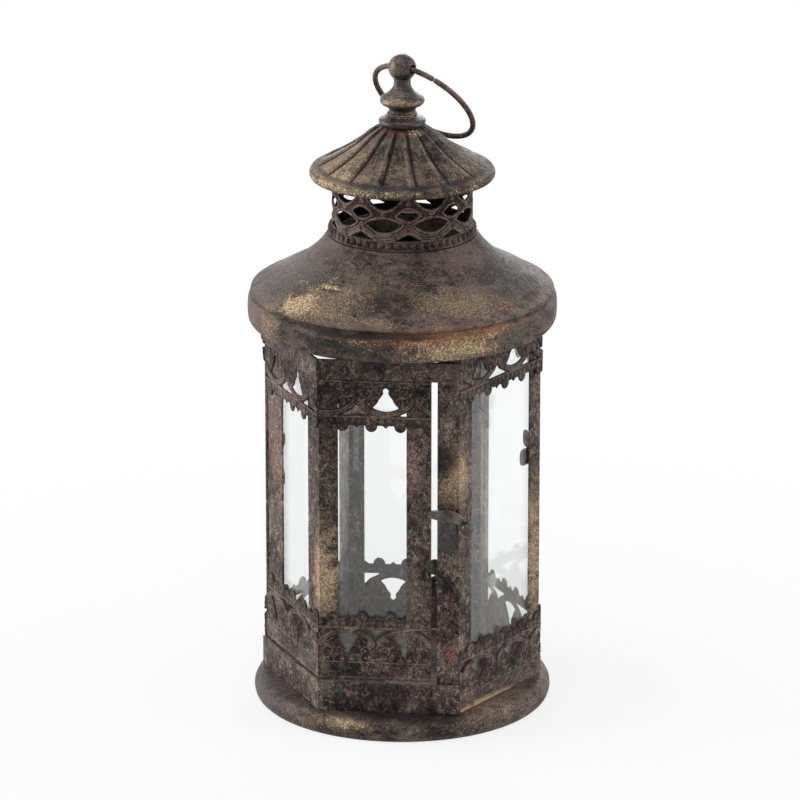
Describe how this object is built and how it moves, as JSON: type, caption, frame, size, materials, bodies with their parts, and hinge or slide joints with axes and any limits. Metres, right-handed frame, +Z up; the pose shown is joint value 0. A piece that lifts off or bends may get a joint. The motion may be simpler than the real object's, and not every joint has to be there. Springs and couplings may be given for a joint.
{
  "type": "lantern",
  "caption": "Hexagonal glazed candle lantern with a domed roof, pierced collar, pleated cap, carry ring and a hinged two-panel door with a turning latch.",
  "frame": {"origin": "centre of the round base, in the plane that it stands on", "axes": "+Z up; the front panel, which is part of the door, looks along -Y; +X is to the viewer's right"},
  "size_m": [0.1516, 0.1516, 0.3279],
  "materials": {
    "aged_iron": "aged, mottled brown-purple with rust and rubbed bronze patches",
    "fretwork_iron": "aged, stamped relief with pale dust and rust in the recesses",
    "dark_hardware": "dark, worn satin",
    "clear_glass": "clear, faintly cool"
  },
  "bodies": {
    "lantern": {"base_pan": "aged_iron", "door_sill": "aged_iron", "door_header": "aged_iron", "hinge_post": "aged_iron", "latch_post": "aged_iron", "right_post": "aged_iron", "back_right_post": "aged_iron", "back_left_post": "aged_iron", "right_pane": "clear_glass", "back_right_pane": "clear_glass", "back_pane": "clear_glass", "back_left_pane": "clear_glass", "right_upper_strip": "fretwork_iron", "back_right_upper_strip": "fretwork_iron", "back_upper_strip": "fretwork_iron", "back_left_upper_strip": "fretwork_iron", "right_lower_strip": "fretwork_iron", "back_right_lower_strip": "fretwork_iron", "back_lower_strip": "fretwork_iron", "back_left_lower_strip": "fretwork_iron", "crown_plate": "aged_iron", "roof": "aged_iron", "collar": "fretwork_iron", "bead_ring": "fretwork_iron", "cap": "aged_iron", "finial": "aged_iron", "finial_nut": "dark_hardware", "lower_hinge_post_leaf": "dark_hardware", "upper_hinge_post_leaf": "dark_hardware", "lower_hinge_pin": "dark_hardware", "upper_hinge_pin": "dark_hardware", "latch_plate": "dark_hardware", "latch_rivet": "dark_hardware"},
    "door": {"door_frame": "aged_iron", "door_front_pane": "clear_glass", "door_left_pane": "clear_glass", "door_front_upper_strip": "fretwork_iron", "door_front_lower_strip": "fretwork_iron", "door_left_upper_strip": "fretwork_iron", "door_left_lower_strip": "fretwork_iron", "lower_hinge_door_leaf": "dark_hardware", "upper_hinge_door_leaf": "dark_hardware"},
    "latch": {"latch_lever": "dark_hardware", "latch_knob": "dark_hardware"},
    "ring": {"carry_ring": "dark_hardware"}
  },
  "joints": [
    {"name": "door_hinge", "type": "hinge", "parent": "lantern", "child": "door", "pos_m": [-0.06619, -0.00213, 0.107], "axis": [0, 0, -1], "range_deg": [0, 110]},
    {"name": "latch_pivot", "type": "hinge", "parent": "lantern", "child": "latch", "pos_m": [0.0283, -0.0624, 0.1148], "axis": [0, 1, 0], "range_deg": [0, 75]},
    {"name": "ring_swing", "type": "hinge", "parent": "lantern", "child": "ring", "pos_m": [0, 0, 0.3211], "axis": [0.8462, -0.5329, 0], "range_deg": [0, 280]}
  ]
}
